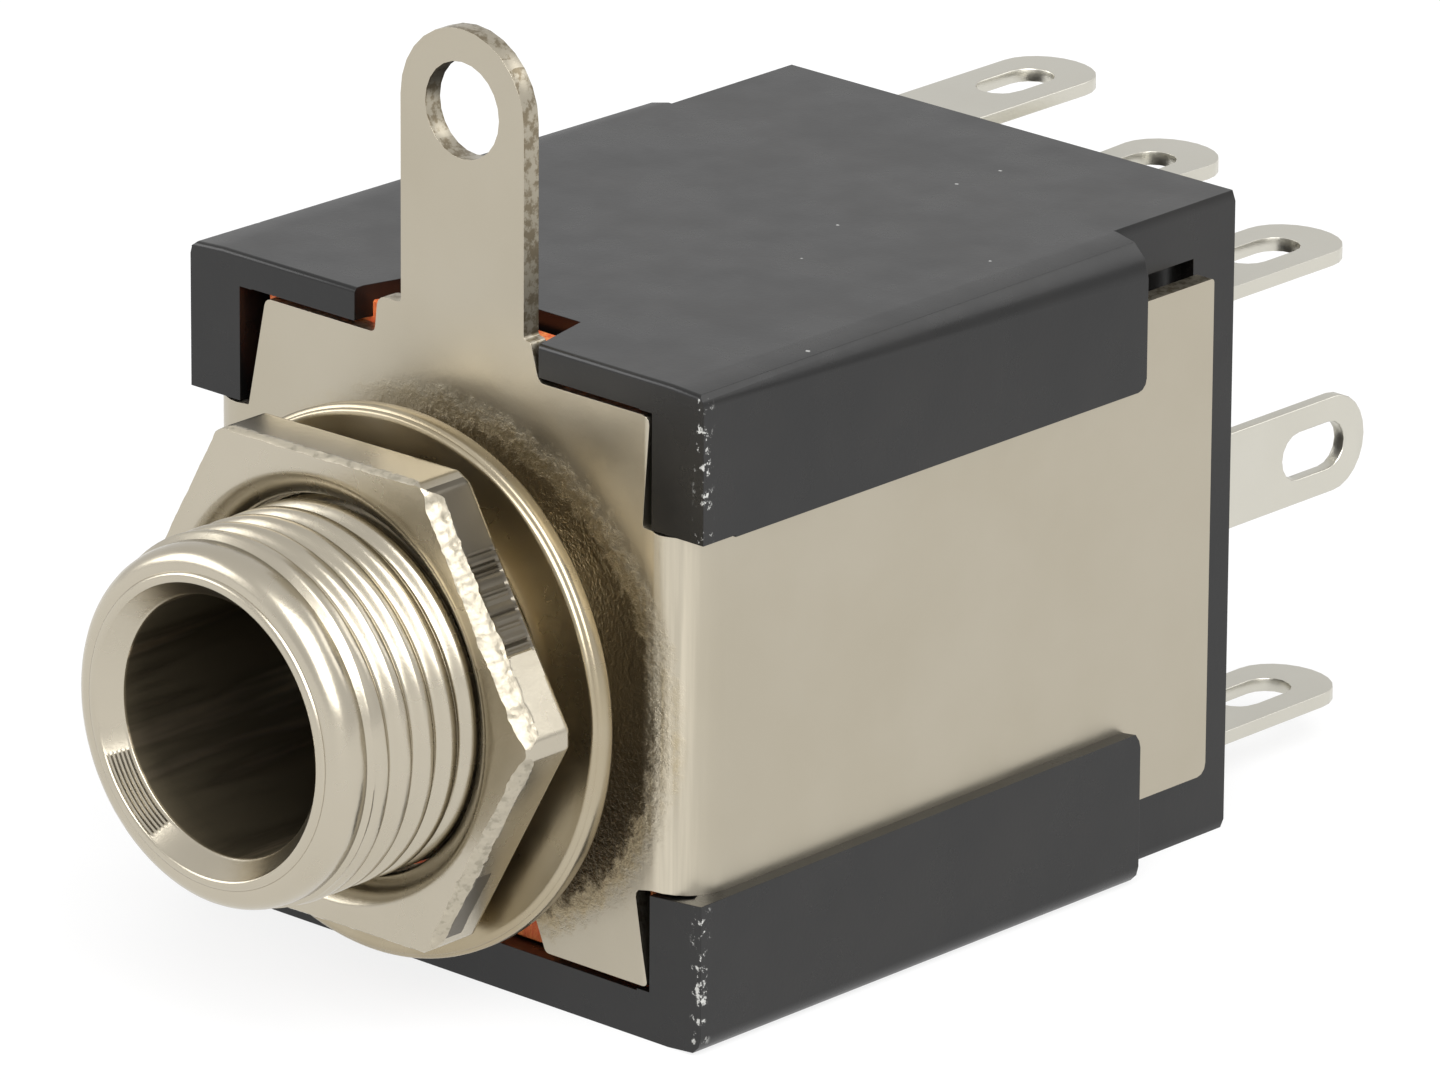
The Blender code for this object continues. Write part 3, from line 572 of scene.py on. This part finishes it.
def make_bushing():
    """Nose with a cut thread, a rounded lip and a countersunk mouth."""
    columns = 192
    angle = ring_angles(columns)
    rows = []

    def plain(radius, depth):
        rows.append((np.full(columns, radius), np.full(columns, depth)))

    plain(3.16, 0.94)
    for depth in np.linspace(0.0, -7.3, 12):
        plain(BORE, depth)
    bore_rows = len(rows)
    plain(3.14, -7.37)
    # The turning lines show at the lower left of the mouth, and hardly anywhere else.
    turned_lines = np.clip(1.2 - np.abs(angle - math.radians(228)) / math.radians(38), 0.12, 1)
    mouth_steps = 13
    for step in range(mouth_steps):
        share = step / (mouth_steps - 1)
        cut = 0.024 * (step % 2) * turned_lines
        rows.append((3.16 + 0.38 * share + cut, -7.39 - 0.48 * share + cut))
    for radius, depth in MOUTH_LIP:
        plain(radius, depth)
    for depth in np.arange(-7.0, -0.75, PITCH / 24):
        phase = np.mod(depth / PITCH - angle / TURN, 1)
        groove = (0.5 - 0.5 * np.cos(TURN * phase)) ** 1.6
        start = np.clip((depth - THREAD_START) / 0.55, 0, 1)
        end = np.clip((-0.8 - depth) / 0.5, 0, 1)
        lead = 4.30 + 0.20 * np.clip((depth - THREAD_START) / 0.2, 0, 1)
        cut = THREAD_OUTER - THREAD_DEPTH * groove * start * end
        rows.append((np.minimum(cut, lead), np.full(columns, depth)))
    for radius, depth in NOSE_FLANGE:
        plain(radius, depth)
    rings = np.stack([around(radius, depth, angle) for radius, depth in rows])
    wobble = rough_values(rings, 2.2, 3.0) * 0.007
    outside = np.hypot(rings[..., 0], rings[..., 2]) > 4.0
    shrink(rings, 1 - np.where(outside, np.abs(wobble), 0) / 4.4)
    mesh = ring_mesh("nose_thread", to_frame(rings), 50)
    nose = new_piece("nose_thread", mesh, "socket", nose_metal, ["threaded_bushing"])
    mesh.materials.append(bore_metal.material)
    for face in mesh.polygons:
        if face.index // columns < bore_rows:
            face.material_index = 1
    return nose


def make_nut():
    """Stamped nut: its front edge is torn, most of all on the right, and one side has tool marks."""
    columns = 720
    angle = ring_angles(columns)
    flat_turn = math.pi / 3
    from_flat = np.mod(angle - FIRST_CORNER, flat_turn) - flat_turn / 2
    flat_number = np.floor(np.mod(angle - FIRST_CORNER, TURN) / flat_turn).astype(int)
    hexagon = np.minimum(NUT_CORNER * math.cos(flat_turn / 2) / np.cos(from_flat), NUT_BLUNT_CORNER)
    along = np.tan(from_flat) / math.tan(flat_turn / 2)
    ends = np.clip((1.0 - np.abs(along)) / 0.12, 0.25, 1)
    ragged = np.array([
        noise.noise(Vector((a * 14, 1.3, 0.2))) + 0.5 * noise.noise(Vector((a * 45, 4.1, 0.7)))
        for a in angle
    ])
    tear_width = np.choose(flat_number, TEAR_WIDTHS) * ends * (1 + 0.2 * ragged)
    tear_depth = np.choose(flat_number, TEAR_DEPTHS) * ends * (1 + 0.25 * ragged)
    front = np.full(columns, NUT_FRONT)
    rear = np.full(columns, NUT_REAR)

    # Bore and countersink, then the front face
    rows = [(np.full(columns, NUT_BORE), rear)]
    for depth in np.linspace(-2.8, -3.45, 6):
        rows.append((np.full(columns, NUT_BORE), np.full(columns, depth)))
    for radius, behind in ((4.62, 0.42), (4.95, 0.16), (5.12, 0.03), (NUT_SINK, 0)):
        rows.append((np.full(columns, radius), front + behind))
    for share in (0.25, 0.5, 0.75):
        rows.append((NUT_SINK + (hexagon - tear_depth - 5.3) * share, front))

    # Torn edge
    first_tear = len(rows)
    tear_steps = 10
    for step in range(tear_steps + 1):
        share = step / tear_steps
        rows.append((hexagon - tear_depth * (1 - share) ** 1.3, front + tear_width * (share ** 1.2)))
    last_tear = first_tear + tear_steps

    # Sides and rear
    side_steps = 14
    side_length = NUT_REAR - NUT_FRONT - NUT_REAR_CHAMFER - tear_width
    for share in np.linspace(0.08, 1, side_steps):
        rows.append((hexagon.copy(), front + tear_width + side_length * share))
    rows.append((hexagon - 0.05, rear - 0.03))
    rows.append((hexagon - 0.14, rear))
    rows.append((hexagon * 0.85, rear))
    rings = np.stack([around(radius, depth, angle) for radius, depth in rows])

    # Jagged tear and upright tool marks
    jag = rough_values(rings, 3.2, 9.0) + 0.6 * rough_values(rings, 8.0, 21.0)
    torn_rows = np.zeros(len(rows))
    torn_rows[first_tear:last_tear] = 1
    jag_size = (tear_depth * 0.22)[None, :] * torn_rows[:, None]
    marked = (flat_number == UPPER_RIGHT_FLAT) & (along > -0.45) & (along < 0.35)
    lines = np.array([noise.noise(Vector((a * 170, 0.4, 2.0))) for a in angle])
    side_rows = np.zeros(len(rows))
    side_rows[last_tear + 1:last_tear + side_steps] = 1
    marks = side_rows[:, None] * np.where(marked, np.clip(lines, -0.2, 0.6) + 0.2, 0)[None, :] * 0.09
    shrink(rings, 1 - np.abs(jag) * jag_size / 6.2 - marks / 6.2)

    mesh = ring_mesh("nut_body", to_frame(rings), 28)
    nut = new_piece("nut_body", mesh, "nut", nose_metal, ["hex_nut"])
    mesh.materials.append(broken_metal.material)
    # Painted dark reflection on parts of two sides
    mesh.materials.append(painted_reflection_metal.material)
    for face in mesh.polygons:
        row, column = divmod(face.index, columns)
        place = along[column]
        if first_tear <= row < last_tear and tear_width[column] > 0.12:
            face.material_index = 1
        elif last_tear <= row < last_tear + side_steps:
            # Painted dark reflection: on one side from its top corner to the tool marks, and on another
            # in a patch near the bottom.
            upper = flat_number[column] == UPPER_RIGHT_FLAT and place < 0.25 + 0.15 * ragged[column]
            front_half = row < last_tear + side_steps // 2
            lower = flat_number[column] == LOWER_RIGHT_FLAT and 0.25 < place < 0.85 and front_half
            if upper or lower:
                face.material_index = 2
    return nut


def make_washer():
    """Stamped ring with a stepped rim, a little out of flat, leaning on the nose."""
    columns = 240
    angle = ring_angles(columns)
    rings = np.stack([
        around(np.full(columns, radius), np.full(columns, depth), angle)
        for radius, depth in WASHER_PROFILE
    ])
    rings[..., 1] += rough_values(rings, 0.16, 5.0) * 0.05
    lean = Matrix.Rotation(WASHER_LEAN, 3, "Z") @ Matrix.Rotation(-WASHER_LEAN, 3, "X")
    rings = rings @ np.array(lean).T
    rings += np.array([0, WASHER_MIDDLE, -WASHER_DROP])
    mesh = ring_mesh("washer_ring", to_frame(rings), 50)
    return new_piece("washer_ring", mesh, "washer", washer_metal, ["flat_washer"])


def make_strip(name, change=None):
    """Solder lug or contact spring."""
    softened(name, f"{name}_strip", lug_metal, 0.04, 2, change=change)


make_bushing()
make_nut()
make_washer()
softened(
    "housing", "moulded_shell", moulding, 0.12, 3, worn=top_front, change=seat_flaps)
softened("front_bracket", "bracket_sheet", plate_metal, 0.06, 2, change=seat_arm)
softened("front_insulator", "insulator_sheet", fibre, 0.04, 1, change=raise_sheet)
for side in ("upper", "lower"):
    for part in ("make_terminal", "common_terminal", "break_terminal", "switch_blade"):
        make_strip(f"{side}_{part}", trim_lug)
    softened(f"{side}_pusher", f"{side}_pusher_finger", fibre, 0.05, 1)
for side in ("tip", "ring"):
    for part in ("terminal", "blade"):
        make_strip(f"{side}_{part}")


# Floor, light and camera

def seen_directly(tree):
    """Output that is 1 for the camera and for reflections, and otherwise 0."""
    path = tree.nodes.new("ShaderNodeLightPath")
    seen = tree.nodes.new("ShaderNodeMath")
    seen.operation = "MAXIMUM"
    tree.links.new(path.outputs["Is Camera Ray"], seen.inputs[0])
    tree.links.new(path.outputs["Is Glossy Ray"], seen.inputs[1])
    return seen.outputs["Value"]


def mixed(tree, share, first, second):
    """Surface that goes from the first to the second as the share rises to 1."""
    mix = tree.nodes.new("ShaderNodeMixShader")
    tree.links.new(share, mix.inputs["Fac"])
    tree.links.new(first, mix.inputs[1])
    tree.links.new(second, mix.inputs[2])
    return mix.outputs["Shader"]


def stage_material(name, colour, glow_share):
    """Pale surface that shows nearly white to the camera and in reflections, and keeps a soft shadow."""
    material = bpy.data.materials.new(name)
    material.use_nodes = True
    tree = material.node_tree
    tree.nodes.clear()
    output = tree.nodes.new("ShaderNodeOutputMaterial")
    diffuse = tree.nodes.new("ShaderNodeBsdfDiffuse")
    diffuse.inputs["Color"].default_value = (*colour, 1)
    glow = tree.nodes.new("ShaderNodeEmission")
    glow.inputs["Color"].default_value = (1, 1, 1, 1)
    share = tree.nodes.new("ShaderNodeMath")
    share.operation = "MULTIPLY"
    share.inputs[1].default_value = glow_share
    tree.links.new(seen_directly(tree), share.inputs[0])
    surface = mixed(tree, share.outputs["Value"], diffuse.outputs["BSDF"], glow.outputs["Emission"])
    tree.links.new(surface, output.inputs["Surface"])
    return material


def make_floor():
    bpy.ops.mesh.primitive_plane_add(size=4, location=(0, 0, 0))
    floor = bpy.context.object
    floor.name = "floor"
    floor.data.materials.append(stage_material("pale_floor", (0.9, 0.9, 0.9), 0.8))


def make_world():
    """Even white light from all round, and full white where it is seen."""
    world = bpy.data.worlds.new("studio")
    bpy.context.scene.world = world
    world.use_nodes = True
    tree = world.node_tree
    light = tree.nodes["Background"]
    light.inputs["Color"].default_value = (1, 1, 1, 1)
    light.inputs["Strength"].default_value = 0.75
    white = tree.nodes.new("ShaderNodeBackground")
    white.inputs["Strength"].default_value = 1
    surface = mixed(tree, seen_directly(tree), light.outputs["Background"], white.outputs["Background"])
    tree.links.new(surface, tree.nodes["World Output"].inputs["Surface"])


def make_lamp(name, place, size, power):
    """Area lamp that points at the middle of the socket."""
    lamp = bpy.data.lights.new(name, "AREA")
    lamp.shape = "RECTANGLE"
    lamp.size, lamp.size_y = size
    lamp.energy = power
    item = bpy.data.objects.new(name, lamp)
    bpy.context.scene.collection.objects.link(item)
    item.location = place
    aim = Vector((0, 0, 8 * MM)) - item.location
    item.rotation_mode = "QUATERNION"
    item.rotation_quaternion = aim.to_track_quat("-Z", "Y")


def make_camera():
    """Camera set at the photograph's distance and angle, measured from the bracket's front."""
    around_z = math.radians(42.6)
    above = math.radians(19.61)
    roll = math.radians(0.36)
    distance = 319.61 * MM
    aim_right = 6.448 * MM
    aim_up = 2.492 * MM
    ahead = math.cos(above)
    back = Vector((math.sin(around_z) * ahead, -math.cos(around_z) * ahead, math.sin(above)))
    right = Vector((math.cos(around_z), math.sin(around_z), 0))
    up = back.cross(right)
    turned_right = math.cos(roll) * right + math.sin(roll) * up
    turned_up = math.cos(roll) * up - math.sin(roll) * right
    data = bpy.data.cameras.new("camera")
    data.lens = 343.05
    data.sensor_width = 36
    data.clip_start = 0.02
    data.clip_end = 20
    camera = bpy.data.objects.new("camera", data)
    bpy.context.scene.collection.objects.link(camera)
    centre = Vector((0, FRONT, AXIS_Z))
    camera.location = centre + turned_right * aim_right + turned_up * aim_up + back * distance
    camera.rotation_mode = "QUATERNION"
    camera.rotation_quaternion = Matrix((turned_right, turned_up, back)).transposed().to_quaternion()
    bpy.context.scene.camera = camera


make_floor()
make_world()
make_lamp("key", (0.36, -0.25, 0.42), (0.55, 0.6), 5.0)
make_lamp("fill", (-0.45, -0.35, 0.25), (0.4, 0.3), 1.2)
make_lamp("rear", (0.3, 0.5, 0.4), (0.4, 0.3), 0.6)
make_camera()
bpy.context.scene.view_settings.view_transform = "Standard"
